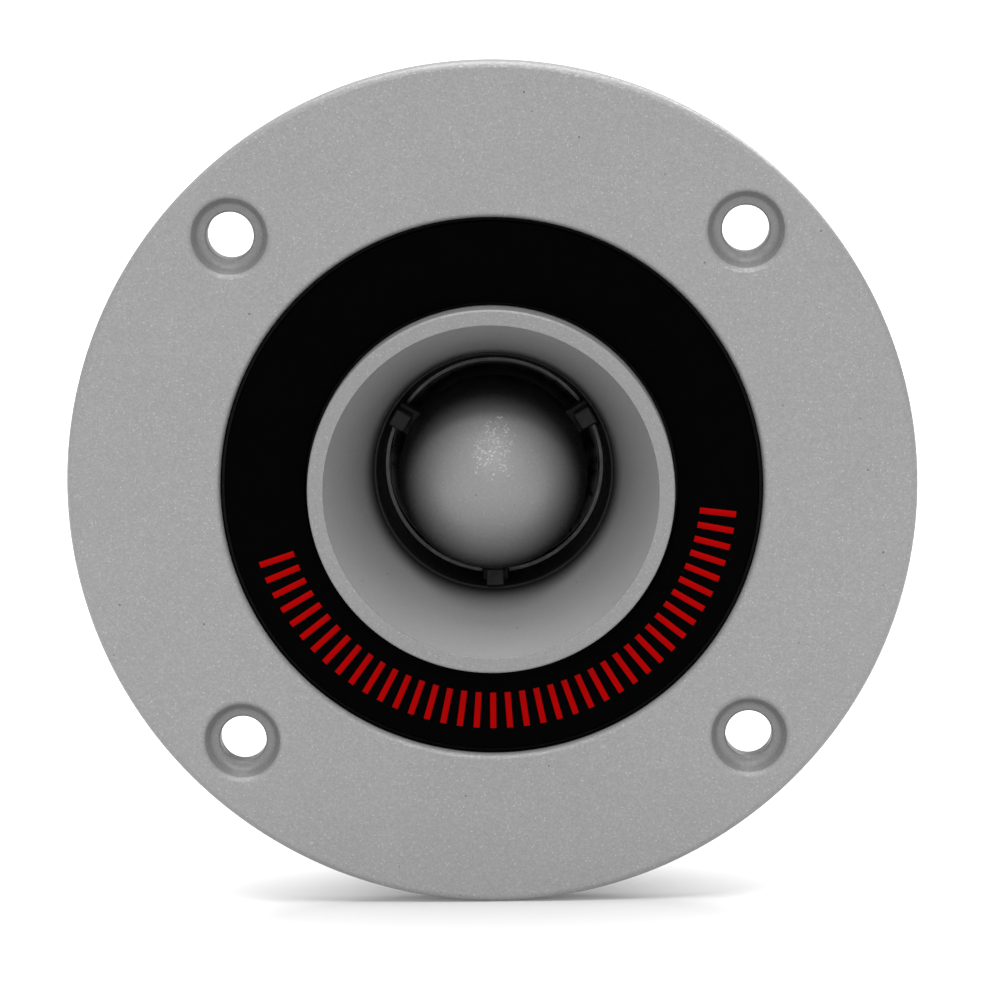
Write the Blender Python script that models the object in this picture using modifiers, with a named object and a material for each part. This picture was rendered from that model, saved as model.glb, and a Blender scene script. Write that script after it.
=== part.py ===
"""Horn tweeter for a car: a bullet phase plug in a flanged bell, on a ferrite motor.

Lengths are in millimetres, and MM turns them into metres where a mesh is made. Every piece
is laid out face up: Z runs along the horn's axis, forward, from zero on the flange's rear
face. The empty horn_axis then stands the assembly up, facing -Y with its own +Y upwards.
"""
import math

import bmesh
import bpy
from mathutils import Matrix, Vector

MM = 0.001
GAP = 0.3                        # clearance between pieces that touch
SHARP_EDGE = math.radians(35)    # smooth shading stops at edges steeper than this
FINE, MEDIUM, COARSE = 48, 32, 16    # segments round a turned piece

# Horn casting
FLANGE_R, FLANGE_T = 50.0, 4.0
HOLE_CIRCLE_R, HOLE_R = 42.5, 2.75
HOLE_HEAD_R, HOLE_HEAD_DEPTH, HOLE_ROUND = 4.55, 1.4, 0.4
EDGE_ROUND, EDGE_CHAMFER = 0.8, 0.3
RECESS_R, RECESS_Z = 31.9, 2.2
LIP_R, LIP_Z, LIP_ROUND, LIP_CHAMFER = 21.5, 7.0, 0.65, 0.25
MOUTH_R, THROAT_R, THROAT_Z, FLARE_POWER, FLARE_STEPS = 19.6, 14.4, -8.6, 1.15, 6
BARREL_R, BARREL_WALL, BARREL_Z = 33.5, 2.3, -18.0
WEB_Z = -1.4                     # rear of the plate that joins the bell to the barrel
NECK_R, SEAT_R, SEAT_TOP, SEAT_Z = 19.6, 23.4, -10.6, -14.6
BOSS_R, BOSS_CIRCLE_R = 4.6, 27.3
BOSS_ANGLES = (0, 90, 180, 270)
HOLE_ANGLES = (45, 135, 225, 315)
LEAD_ANGLES = {"black": 247, "red": 293}
SIDES = {"black": -1, "red": 1}

# Trim ring and throat
TRIM_FRONT, TRIM_T = 3.3, 0.8
POCKET_R = 17.3                  # the bore behind the flare that holds the spider
SPIDER_R, SPIDER_FRONT, SPIDER_REAR = POCKET_R - GAP, THROAT_Z - GAP, -13.3
SPIDER_THROAT_FRONT_R, SPIDER_THROAT_REAR_R = 14.1, 12.95
HUB_R, HUB_FRONT = 10.9, -9.4
WEB_WIDTH, FIN_WIDTH, FIN_FRONT, FIN_INNER_R, FIN_OUTER_R = 5.8, 2.5, -7.9, 11.75, 13.9
SPOKE_ANGLES = (30, 150, 270)
THROAT_RING_R, THROAT_RING_T = 12.55, 0.7
PLUG_R, PLUG_TIP, PLUG_SHOULDER = 11.3, 4.6, -6.5

# Moving system
DOME_BASE_R, DOME_BASE_Z, DOME_RISE, DOME_T = 12.3, -16.6, 3.6, 0.3
DOME_EDGE_R, SURROUND_IN_R, SURROUND_OUT_R, SURROUND_RISE = 16.7, 12.9, 15.9, 1.0
CHAMBER = 0.8                    # clearance between dome and hub
FORMER_R, FORMER_T, FORMER_END = 12.4, 0.25, -22.6
COIL_R, COIL_T, COIL_TOP, COIL_END = 12.95, 0.35, -18.9, -22.3

# Frame of the diaphragm
FRAME_IN_R, FRAME_OUT_R, FRAME_TOP = 17.2, 22.2, -15.8
EAR_END_R, EAR_WIDTH, EAR_TOP = 30.6, 5.0, -16.3
GASKET_IN_R, GASKET_T = 16.4, 0.6
PIN_R, PIN_CIRCLE_R, PIN_ANGLES = 0.95, 19.7, (0, 180)

# Motor
PLATE_R, PLATE_BORE_R, PLATE_TOP, PLATE_T = 32.5, 13.7, BARREL_Z - GAP, 5.0
MAGNET_IN_R, MAGNET_T = 16.5, 15.0
YOKE_R, YOKE_T, POLE_R, POLE_TOP = 30.0, 4.5, 12.0, -18.6
FELT_R, FELT_T = 10.5, 1.1

# Terminals
BLOCK_WIDTH, BLOCK_HEIGHT, BLOCK_DEPTH = 36.0, 15.0, 10.5
COVER_T, CORNER_ROUND = 1.5, 0.8
WELL_X, WELL_R, WELL_FLOOR = 7.5, 4.4, 1.5
BUTTON_R, BUTTON_COLLAR_R, BUTTON_COLLAR_T, BUTTON_OUT, BUTTON_TRAVEL = 3.3, 4.1, 1.0, 4.0, 2.2
SPRING_R, SPRING_WIRE_R, SPRING_TURNS, SPRING_LENGTH = 2.3, 0.28, 4, 4.5
TERMINAL_SCREW_X = 14.9
WIRE_HOLE_R, CROSS_HOLE_R = 1.1, 0.9
CONTACT_WIDTH, CONTACT_T, CONTACT_REACH = 3.0, 0.4, 10.8
LEAD_R, LEAD_ROUTE_R = 0.7, 34.4

# Places that follow from the sizes above, front to rear
GASKET_TOP = SEAT_Z - GAP
MAGNET_TOP = PLATE_TOP - PLATE_T - GAP
YOKE_TOP = MAGNET_TOP - MAGNET_T - GAP
YOKE_REAR = YOKE_TOP - YOKE_T
BLOCK_TOP = YOKE_REAR - GAP
BLOCK_REAR = BLOCK_TOP - BLOCK_DEPTH
COVER_TOP = BLOCK_REAR - GAP
COVER_REAR = COVER_TOP - COVER_T
WELL_END = BLOCK_TOP - WELL_FLOOR
SPRING_TOP = WELL_END - GAP
BUTTON_FRONT = SPRING_TOP - SPRING_LENGTH - GAP
BUTTON_REAR = COVER_REAR - BUTTON_OUT
COLLAR_REAR = COVER_TOP + GAP
CROSS_HOLE_Z = BUTTON_FRONT - 1.3
WIRE_HOLE_Z = CROSS_HOLE_Z + BUTTON_TRAVEL    # the two holes line up with the button pressed
CONTACT_Z = WELL_END - 1.0
DOME_SPHERE_R = (DOME_BASE_R ** 2 + DOME_RISE ** 2) / (2 * DOME_RISE)
DOME_CENTRE_Z = DOME_BASE_Z + DOME_RISE - DOME_SPHERE_R

# name: (colour, metallic, roughness)
FINISHES = {
    "silver_paint": ((0.36, 0.36, 0.36), 0.6, 0.42),
    "black_trim": ((0.006, 0.006, 0.006), 0.0, 0.35),
    "black_plastic": ((0.012, 0.012, 0.012), 0.0, 0.5),
    "bright_aluminium": ((0.75, 0.75, 0.76), 1.0, 0.25),
    "titanium": ((0.55, 0.53, 0.50), 1.0, 0.3),
    "zinc_steel": ((0.55, 0.56, 0.58), 1.0, 0.35),
    "black_oxide": ((0.03, 0.03, 0.032), 0.8, 0.4),
    "ferrite": ((0.025, 0.025, 0.027), 0.1, 0.7),
    "polyimide": ((0.35, 0.13, 0.02), 0.0, 0.35),
    "copper": ((0.72, 0.30, 0.15), 1.0, 0.3),
    "brass": ((0.72, 0.52, 0.22), 1.0, 0.3),
    "foam": ((0.02, 0.02, 0.02), 0.0, 0.95),
    "felt": ((0.16, 0.16, 0.17), 0.0, 1.0),
    "red_plastic": ((0.55, 0.01, 0.01), 0.0, 0.4),
    "spring_steel": ((0.6, 0.6, 0.62), 1.0, 0.25),
}


def start_scene():
    """Empties the scene, makes the collections and the empty that stands the tweeter up."""
    for obj in list(bpy.data.objects):
        bpy.data.objects.remove(obj)
    parts = bpy.data.collections.new("car_tweeter")
    cutters = bpy.data.collections.new("cutters")
    for collection in (parts, cutters):
        bpy.context.scene.collection.children.link(collection)
    axis = bpy.data.objects.new("horn_axis", None)
    axis.rotation_euler = (math.pi / 2, 0, 0)
    parts.objects.link(axis)
    materials = {}
    for name, (colour, metallic, roughness) in FINISHES.items():
        material = bpy.data.materials.new(name)
        material.use_nodes = True
        shader = material.node_tree.nodes["Principled BSDF"]
        shader.inputs["Base Color"].default_value = (*colour, 1.0)
        shader.inputs["Metallic"].default_value = metallic
        shader.inputs["Roughness"].default_value = roughness
        materials[name] = material
    return parts, cutters, axis, materials


PARTS, CUTTERS, HORN_AXIS, MATERIALS = start_scene()


def add_object(name, data, finish=None, location=(0, 0, 0)):
    """Adds a part on the horn's axis, or a cutter when it has no finish."""
    obj = bpy.data.objects.new(name, data)
    obj.parent = HORN_AXIS
    obj.location = Vector(location) * MM
    if finish is None:
        CUTTERS.objects.link(obj)
        obj.hide_render = True
        obj.display_type = "WIRE"
    else:
        PARTS.objects.link(obj)
        data.materials.append(MATERIALS[finish])
    return obj


def arc(centre_r, centre_z, radius, start, end, steps):
    """Points of an arc in the profile plane, with angles in degrees from the outward radius."""
    angles = [math.radians(start + (end - start) * i / steps) for i in range(steps + 1)]
    return [(centre_r + radius * math.cos(a), centre_z + radius * math.sin(a)) for a in angles]


def polar(radius, angle, z=0.0):
    """A point at an angle in degrees round the horn's axis."""
    return Vector((radius * math.cos(math.radians(angle)), radius * math.sin(math.radians(angle)), z))


def turned(name, profile, finish=None, steps=MEDIUM, location=(0, 0, 0)):
    """A solid of revolution. The profile runs down its outer side and back up the inner one."""
    on_axis = profile[0][0] == 0 and profile[-1][0] == 0
    count = len(profile)
    edges = [(i, (i + 1) % count) for i in range(count - 1 if on_axis else count)]
    mesh = bpy.data.meshes.new(name)
    mesh.from_pydata([(r * MM, 0, z * MM) for r, z in profile], edges, [])
    obj = add_object(name, mesh, finish, location)
    screw = obj.modifiers.new("turn", "SCREW")
    screw.steps = screw.render_steps = steps
    screw.use_merge_vertices = True
    screw.merge_threshold = 0.00001
    return obj


def ring(name, inner, outer, top, bottom, finish, steps=MEDIUM):
    """A plain flat ring."""
    return turned(name, [(inner, top), (outer, top), (outer, bottom), (inner, bottom)], finish, steps)


def rod(name, radius, top, bottom, finish=None, steps=COARSE, at=(0, 0)):
    """A cylinder along the axis direction, between two heights."""
    mesh = bpy.data.meshes.new(name)
    bm = bmesh.new()
    bmesh.ops.create_cone(
        bm, cap_ends=True, segments=steps, radius1=radius * MM, radius2=radius * MM,
        depth=(top - bottom) * MM,
        matrix=Matrix.Translation((0, 0, (top + bottom) / 2 * MM)),
    )
    bm.to_mesh(mesh)
    bm.free()
    return add_object(name, mesh, finish, (at[0], at[1], 0))


def block(name, low, high, finish=None, turn=0.0):
    """A box between two corners, turned by an angle in degrees round the horn's axis."""
    low, high = Vector(low) * MM, Vector(high) * MM
    size = high - low
    mesh = bpy.data.meshes.new(name)
    bm = bmesh.new()
    bmesh.ops.create_cube(
        bm, size=1.0,
        matrix=Matrix.Translation((low + high) / 2) @ Matrix.Diagonal((*size, 1.0)),
    )
    bm.to_mesh(mesh)
    bm.free()
    obj = add_object(name, mesh, finish)
    obj.rotation_euler.z = math.radians(turn)
    return obj


def combine(target, tool, operation="DIFFERENCE"):
    """Cuts the tool out of the target, or joins it on."""
    boolean = target.modifiers.new(tool.name, "BOOLEAN")
    boolean.operation = operation
    boolean.solver = "EXACT"
    boolean.object = tool


def round_edges(obj, width):
    """Rounds every edge that a block has so far."""
    bevel = obj.modifiers.new("rounded", "BEVEL")
    bevel.width = width * MM
    bevel.segments = 2


def tube(name, points, radius, finish, sides=1):
    """A wire along a list of points, with closed ends."""
    curve = bpy.data.curves.new(name, "CURVE")
    curve.dimensions = "3D"
    curve.bevel_depth = radius * MM
    curve.bevel_resolution = sides
    curve.use_fill_caps = True
    spline = curve.splines.new("POLY")
    spline.points.add(len(points) - 1)
    for place, point in zip(spline.points, points):
        place.co = (*(Vector(point) * MM), 1.0)
    return add_object(name, curve, finish)


def smooth_route(points, per_span=4):
    """Points read from a smooth curve through the given ones."""
    padded = [points[0] * 2 - points[1], *points, points[-1] * 2 - points[-2]]
    route = []
    for before, start, end, after in zip(padded, padded[1:], padded[2:], padded[3:]):
        for i in range(per_span):
            t = i / per_span
            route.append(0.5 * (
                2 * start + (end - before) * t
                + (2 * before - 5 * start + 4 * end - after) * t ** 2
                + (3 * start - before - 3 * end + after) * t ** 3))
    return route + [points[-1]]


# ---------------------------------------------------------------- horn

def flare():
    """The bell's inner wall, from the throat up to the mouth."""
    mouth_z = LIP_Z - LIP_CHAMFER
    points = []
    for i in range(FLARE_STEPS + 1):
        t = i / FLARE_STEPS
        radius = THROAT_R + (MOUTH_R - THROAT_R) * t ** FLARE_POWER
        points.append((radius, THROAT_Z + (mouth_z - THROAT_Z) * t))
    return points


def make_horn_casting():
    """Flange, bell and rear barrel in one casting."""
    barrel_in_r = BARREL_R - BARREL_WALL
    profile = (
        [(MOUTH_R + LIP_CHAMFER, LIP_Z)]
        + arc(LIP_R - LIP_ROUND, LIP_Z - LIP_ROUND, LIP_ROUND, 90, 0, 2)
        + [(LIP_R, RECESS_Z), (RECESS_R, RECESS_Z)]
        + arc(RECESS_R + EDGE_ROUND, FLANGE_T - EDGE_ROUND, EDGE_ROUND, 180, 90, 2)
        + arc(FLANGE_R - EDGE_ROUND, FLANGE_T - EDGE_ROUND, EDGE_ROUND, 90, 0, 2)
        + [(FLANGE_R, EDGE_CHAMFER), (FLANGE_R - EDGE_CHAMFER, 0), (BARREL_R, 0)]
        + [(BARREL_R, BARREL_Z), (barrel_in_r, BARREL_Z), (barrel_in_r, WEB_Z)]
        + [(LIP_R, WEB_Z), (NECK_R, THROAT_Z), (NECK_R, SEAT_TOP), (SEAT_R, SEAT_TOP)]
        + [(SEAT_R, SEAT_Z), (POCKET_R, SEAT_Z), (POCKET_R, THROAT_Z)]
        + flare()
    )
    casting = turned("horn_casting", profile, "silver_paint", FINE)
    boss_end = BARREL_Z + 0.1
    for angle in BOSS_ANGLES:
        place = polar(BOSS_CIRCLE_R, angle)
        combine(casting, rod("boss", BOSS_R, WEB_Z + 0.5, boss_end, at=place), "UNION")
    head_floor = RECESS_Z - HORN_SCREW_HEAD_T - 2 * GAP
    for angle in BOSS_ANGLES:
        shape = [(0, LIP_Z), (HORN_SCREW_HEAD_R + GAP, LIP_Z), (HORN_SCREW_HEAD_R + GAP, head_floor),
                 (HORN_SCREW_R + GAP, head_floor), (HORN_SCREW_R + GAP, BARREL_Z - 1), (0, BARREL_Z - 1)]
        combine(casting, turned("screw_bore", shape, steps=COARSE, location=polar(BOSS_CIRCLE_R, angle)))
    rounded = arc(HOLE_HEAD_R + HOLE_ROUND, FLANGE_T - HOLE_ROUND, HOLE_ROUND, 100, 180, 3)
    floor = FLANGE_T - HOLE_HEAD_DEPTH
    for angle in HOLE_ANGLES:
        shape = [(0, FLANGE_T + 1), (rounded[0][0], FLANGE_T + 1), *rounded,
                 (HOLE_HEAD_R, floor), (HOLE_R, floor), (HOLE_R, -1), (0, -1)]
        combine(casting, turned("panel_hole", shape, steps=20, location=polar(HOLE_CIRCLE_R, angle)))
    for angle in LEAD_ANGLES.values():
        notch = block("lead_notch", (barrel_in_r - 1, -EAR_WIDTH / 2, BARREL_Z - 1),
                      (BARREL_R + 1, EAR_WIDTH / 2, SEAT_Z + 1.2), turn=angle)
        combine(casting, notch)


def make_trim_ring():
    """The black ring in the flange's recess, which hides the horn screws."""
    inner, outer = LIP_R + GAP + 0.1, RECESS_R - GAP - 0.15
    chamfer, rear = 0.25, TRIM_FRONT - TRIM_T
    turned("trim_ring", [
        (inner + chamfer, TRIM_FRONT), (outer - chamfer, TRIM_FRONT), (outer, TRIM_FRONT - chamfer),
        (outer, rear), (inner, rear), (inner, TRIM_FRONT - chamfer)], "black_trim", FINE)


def make_phase_plug():
    """The bullet: a round nose on a short straight body, tapped from behind."""
    nose = [(PLUG_R * math.sin(a), PLUG_SHOULDER + (PLUG_TIP - PLUG_SHOULDER) * math.cos(a))
            for a in (math.radians(10 * i) for i in range(1, 10))]
    base, bore = HUB_FRONT + GAP, PLUG_SCREW_R + GAP
    turned("phase_plug", [
        (0, PLUG_TIP), *nose, (PLUG_R, base + EDGE_CHAMFER), (PLUG_R - EDGE_CHAMFER, base),
        (bore, base), (bore, PLUG_SCREW_TIP + 2 * GAP), (0, PLUG_SCREW_TIP + 2 * GAP)],
        "silver_paint")


def make_plug_spider():
    """Three legs from a ring behind the flare to the hub that carries the plug."""
    spider = turned("plug_spider", [
        (SPIDER_THROAT_FRONT_R, SPIDER_FRONT), (SPIDER_R, SPIDER_FRONT),
        (SPIDER_R, SPIDER_REAR), (SPIDER_THROAT_REAR_R, SPIDER_REAR)], "black_plastic")
    # The hub's rear follows the dome at a constant distance.
    sphere = DOME_SPHERE_R + CHAMBER
    sink_r, sink_depth, bore = PLUG_SCREW_HEAD_R + 0.4, 1.4, PLUG_SCREW_R + GAP
    radii = [HUB_R + (sink_r - HUB_R) * i / 4 for i in range(5)]
    hollow = [(r, DOME_CENTRE_Z + math.sqrt(sphere ** 2 - r ** 2)) for r in radii]
    hub = turned("hub", [(bore, HUB_FRONT), (HUB_R, HUB_FRONT), *hollow,
                         (bore, hollow[-1][1] + sink_depth)])
    combine(spider, hub, "UNION")
    web_top, web_bottom = HUB_FRONT - 1.5, SPIDER_REAR + 0.3
    for angle in SPOKE_ANGLES:
        web = block("web", (HUB_R - 1, -WEB_WIDTH / 2, web_bottom),
                    (SPIDER_R - 1.5, WEB_WIDTH / 2, web_top), turn=angle)
        combine(spider, web, "UNION")
        fin = block("fin", (FIN_INNER_R, -FIN_WIDTH / 2, web_bottom + 0.5),
                    (FIN_OUTER_R, FIN_WIDTH / 2, FIN_FRONT), turn=angle)
        combine(spider, fin, "UNION")


# ---------------------------------------------------------------- fasteners

HORN_SCREW_R, HORN_SCREW_HEAD_R, HORN_SCREW_HEAD_T = 2.0, 3.5, 3.1
PLUG_SCREW_R, PLUG_SCREW_HEAD_R, PLUG_SCREW_TIP = 1.4, 2.7, -1.0
TERMINAL_SCREW_R, TERMINAL_SCREW_HEAD_R, TERMINAL_SCREW_HEAD_T = 1.25, 2.4, 1.6


def make_screws():
    """Socket screws for the horn, one countersunk screw for the plug, two for the terminals."""
    top = RECESS_Z - GAP
    shoulder, end = top - HORN_SCREW_HEAD_T, PLATE_TOP - PLATE_T + 0.5
    shape = [(0, top), (HORN_SCREW_HEAD_R, top), (HORN_SCREW_HEAD_R, shoulder),
             (HORN_SCREW_R, shoulder), (HORN_SCREW_R, end + 0.4), (HORN_SCREW_R - 0.4, end), (0, end)]
    for number, angle in enumerate(BOSS_ANGLES, 1):
        place = polar(BOSS_CIRCLE_R, angle)
        screw = turned(f"horn_screw_{number}", shape, "black_oxide", 16, place)
        combine(screw, rod("hex_socket", 1.7, top + 1, top - 1.8, steps=6, at=place))

    head = DOME_CENTRE_Z + DOME_SPHERE_R + CHAMBER + 0.2
    turned("plug_screw", [(0, PLUG_SCREW_TIP), (PLUG_SCREW_R, PLUG_SCREW_TIP), (PLUG_SCREW_R, head + 1.3),
                          (PLUG_SCREW_HEAD_R, head), (0, head)], "zinc_steel", COARSE)

    tip, seat = YOKE_REAR + 3.2, COVER_REAR - GAP
    rear = seat - TERMINAL_SCREW_HEAD_T
    shape = [(0, tip), (TERMINAL_SCREW_R, tip), (TERMINAL_SCREW_R, seat), (TERMINAL_SCREW_HEAD_R, seat),
             (TERMINAL_SCREW_HEAD_R, rear + 0.4), (TERMINAL_SCREW_HEAD_R - 0.5, rear), (0, rear)]
    for name, side in SIDES.items():
        x = side * TERMINAL_SCREW_X
        screw = turned(f"terminal_screw_{name}", shape, "zinc_steel", 16, (x, 0, 0))
        for turn in (0, 90):
            slot = block("cross_slot", (-1.5, -0.3, rear - 1), (1.5, 0.3, rear + 0.8), turn=turn)
            slot.location.x = x * MM
            combine(screw, slot)


# ---------------------------------------------------------------- diaphragm

def make_moving_system():
    """Dome and surround in one formed sheet, the coil former, and the winding."""
    dome_angle = math.degrees(math.asin(DOME_BASE_R / DOME_SPHERE_R))
    cap = arc(0, DOME_CENTRE_Z, DOME_SPHERE_R, 90, 90 - dome_angle, 5)
    roll_r = (SURROUND_OUT_R - SURROUND_IN_R) / 2
    roll = [(SURROUND_IN_R + roll_r * (1 - math.cos(a)), DOME_BASE_Z + SURROUND_RISE * math.sin(a))
            for a in (math.pi * i / 4 for i in range(5))]
    front = [(0.0, cap[0][1]), *cap[1:], *roll, (DOME_EDGE_R, DOME_BASE_Z)]
    rear = [(r, z - DOME_T) for r, z in reversed(front)]
    turned("titanium_diaphragm", front + rear, "titanium", 24)
    ring("coil_former", FORMER_R, FORMER_R + FORMER_T, DOME_BASE_Z - DOME_T - GAP, FORMER_END, "polyimide")
    ring("voice_coil", COIL_R, COIL_R + COIL_T, COIL_TOP, COIL_END, "copper")


def make_diaphragm_frame():
    """The moulded ring that carries the diaphragm, with an ear for each solder tab."""
    frame = ring("diaphragm_frame", FRAME_IN_R, FRAME_OUT_R, FRAME_TOP, PLATE_TOP + GAP, "black_plastic")
    for angle in LEAD_ANGLES.values():
        ear = block("ear", (FRAME_OUT_R - 1, -EAR_WIDTH / 2, PLATE_TOP + GAP + 0.1),
                    (EAR_END_R, EAR_WIDTH / 2, EAR_TOP), turn=angle)
        combine(frame, ear, "UNION")
        slot = block("lead_slot", (FRAME_IN_R - 1, -0.75, EAR_TOP - GAP),
                     (FRAME_OUT_R + 0.8, 0.75, FRAME_TOP + 1), turn=angle)
        combine(frame, slot)
    for angle in PIN_ANGLES:
        hole = rod("pin_hole", PIN_R + GAP, FRAME_TOP + 1, PLATE_TOP, steps=16,
                   at=polar(PIN_CIRCLE_R, angle))
        combine(frame, hole)
    for number, angle in enumerate(PIN_ANGLES, 1):
        rod(f"locating_pin_{number}", PIN_R, FRAME_TOP - GAP, PLATE_TOP - PLATE_T + 1, "zinc_steel", 16,
            at=polar(PIN_CIRCLE_R, angle))
    tab_start, tab_end = FRAME_OUT_R + 1.2, BARREL_R - BARREL_WALL + 0.2
    for name, angle in LEAD_ANGLES.items():
        block(f"solder_tab_{name}", (tab_start, -1.3, EAR_TOP + GAP), (tab_end, 1.3, EAR_TOP + GAP + 0.5),
              "brass", angle)
        block(f"lead_out_{name}", (DOME_EDGE_R + 0.4, -0.45, EAR_TOP + 0.05),
              (tab_start - GAP, 0.45, EAR_TOP + 0.4), "copper", angle)


# ---------------------------------------------------------------- motor

def make_motor():
    """Top plate, ferrite ring and the yoke with its pole."""
    plate = ring("top_plate", PLATE_BORE_R, PLATE_R, PLATE_TOP, PLATE_TOP - PLATE_T, "zinc_steel")
    for angle in BOSS_ANGLES:
        combine(plate, rod("thread", HORN_SCREW_R + GAP, PLATE_TOP + 1, PLATE_TOP - PLATE_T - 1, steps=16,
                           at=polar(BOSS_CIRCLE_R, angle)))
    for angle in PIN_ANGLES:
        combine(plate, rod("pin_seat", PIN_R + GAP, PLATE_TOP + 1, PLATE_TOP - PLATE_T - 1, steps=16,
                           at=polar(PIN_CIRCLE_R, angle)))

    rear, chamfer = MAGNET_TOP - MAGNET_T, 0.6
    turned("magnet_ring", [
        (MAGNET_IN_R, MAGNET_TOP), (PLATE_R - chamfer, MAGNET_TOP), (PLATE_R, MAGNET_TOP - chamfer),
        (PLATE_R, rear + chamfer), (PLATE_R - chamfer, rear), (MAGNET_IN_R, rear)], "ferrite")

    yoke = turned("yoke", [
        (0, POLE_TOP), (POLE_R - 0.5, POLE_TOP), (POLE_R, POLE_TOP - 0.5), (POLE_R, YOKE_TOP),
        (YOKE_R, YOKE_TOP), (YOKE_R, YOKE_REAR + 0.5), (YOKE_R - 0.5, YOKE_REAR), (0, YOKE_REAR)],
        "zinc_steel")
    for side in SIDES.values():
        combine(yoke, rod("blind_hole", TERMINAL_SCREW_R + GAP, YOKE_REAR + 3.5, YOKE_REAR - 1, steps=16,
                          at=(side * TERMINAL_SCREW_X, 0)))
    felt_rear = POLE_TOP + GAP
    rod("damping_felt", FELT_R, felt_rear + FELT_T, felt_rear, "felt", MEDIUM)


# ---------------------------------------------------------------- terminals

def make_terminal_housing():
    """The block with a well for each button, and the cover that keeps the buttons in."""
    half_width, half_height = BLOCK_WIDTH / 2, BLOCK_HEIGHT / 2
    body = block("terminal_block", (-half_width, -half_height, BLOCK_REAR),
                 (half_width, half_height, BLOCK_TOP), "black_plastic")
    cover = block("terminal_cover", (-half_width, -half_height, COVER_REAR),
                  (half_width, half_height, COVER_TOP), "black_plastic")
    round_edges(body, CORNER_ROUND)
    round_edges(cover, CORNER_ROUND / 2)
    for side in SIDES.values():
        x = side * WELL_X
        combine(body, rod("well", WELL_R, WELL_END, BLOCK_REAR - 1, steps=24, at=(x, 0)))
        combine(cover, rod("button_hole", BUTTON_R + GAP + 0.05, COVER_TOP + 1, COVER_REAR - 1, steps=24,
                           at=(x, 0)))
        for plate in (body, cover):
            combine(plate, rod("screw_hole", TERMINAL_SCREW_R + GAP, BLOCK_TOP + 1, COVER_REAR - 1,
                               steps=16, at=(side * TERMINAL_SCREW_X, 0)))
        entry = rod("wire_entry", WIRE_HOLE_R, half_height + 1, WELL_R - 1, steps=16)
        entry.rotation_euler.x = -math.pi / 2
        entry.location = Vector((x, 0, WIRE_HOLE_Z)) * MM
        combine(body, entry)
        slot = block("contact_slot", (x - CONTACT_WIDTH / 2 - GAP, -half_height - 1, CONTACT_Z - CONTACT_T - GAP),
                     (x + CONTACT_WIDTH / 2 + GAP, -BUTTON_R, CONTACT_Z + GAP))
        combine(body, slot)


def make_button(name, side):
    """A push button with a collar inside the well, a cross hole for the wire, and its spring."""
    front, rear = BUTTON_FRONT, BUTTON_REAR
    collar_front = COLLAR_REAR + BUTTON_COLLAR_T
    finish = "red_plastic" if name == "red" else "black_plastic"
    button = turned(f"button_{name}", [
        (0, front), (BUTTON_R, front), (BUTTON_R, collar_front), (BUTTON_COLLAR_R, collar_front),
        (BUTTON_COLLAR_R, COLLAR_REAR), (BUTTON_R, COLLAR_REAR),
        *arc(BUTTON_R - 0.6, rear + 0.6, 0.6, 0, -90, 2), (0, rear)],
        finish, 20, (side * WELL_X, 0, 0))
    cross = rod("cross_hole", CROSS_HOLE_R, WELL_R + 1, -WELL_R - 1, steps=12)
    cross.rotation_euler.x = math.pi / 2
    cross.location = Vector((side * WELL_X, 0, CROSS_HOLE_Z)) * MM
    combine(button, cross)

    steps = 8 * SPRING_TURNS
    top, length = SPRING_TOP - SPRING_WIRE_R, SPRING_LENGTH - 2 * SPRING_WIRE_R
    helix = [polar(SPRING_R, 360 * SPRING_TURNS * i / steps, top - length * i / steps)
             + Vector((side * WELL_X, 0, 0)) for i in range(steps + 1)]
    tube(f"button_spring_{name}", helix, SPRING_WIRE_R, "spring_steel")


def make_contact(name, side):
    """An L of brass strip: one leg beside the wire in the well, the other out to a solder tag."""
    x, half = side * WELL_X, CONTACT_WIDTH / 2
    outer = -(BUTTON_R + GAP + CONTACT_T)
    end = COLLAR_REAR + BUTTON_COLLAR_T + BUTTON_TRAVEL + 0.4
    contact = block(f"contact_{name}", (x - half, -CONTACT_REACH, CONTACT_Z - CONTACT_T),
                    (x + half, outer + CONTACT_T, CONTACT_Z), "brass")
    leg = block("leg", (x - half, outer, end), (x + half, outer + CONTACT_T, CONTACT_Z - CONTACT_T / 2))
    combine(contact, leg, "UNION")


def make_lead(name, side):
    """The wire from a solder tab, back along the magnet, to the tag under the terminal block."""
    angle, x = LEAD_ANGLES[name], side * WELL_X
    tab_end = BARREL_R - BARREL_WALL + 0.2
    tab_z, tag_z = EAR_TOP + GAP + 0.25, CONTACT_Z - CONTACT_T / 2
    route = [
        polar(tab_end + GAP, angle, tab_z), polar(LEAD_ROUTE_R - 1.2, angle, tab_z - 0.3),
        polar(LEAD_ROUTE_R, angle, tab_z - 3.0), polar(LEAD_ROUTE_R, angle, MAGNET_TOP - 4),
        polar(LEAD_ROUTE_R, angle, YOKE_TOP + 4), polar(LEAD_ROUTE_R, angle, YOKE_REAR + 2),
        polar(LEAD_ROUTE_R - 2.4, angle, tag_z + 0.8), Vector((x * 1.2, -22, tag_z)),
        Vector((x, -CONTACT_REACH - 4, tag_z)), Vector((x, -CONTACT_REACH - GAP, tag_z))]
    finish = "red_plastic" if name == "red" else "black_plastic"
    tube(f"lead_wire_{name}", smooth_route(route, 3), LEAD_R, finish)


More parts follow.
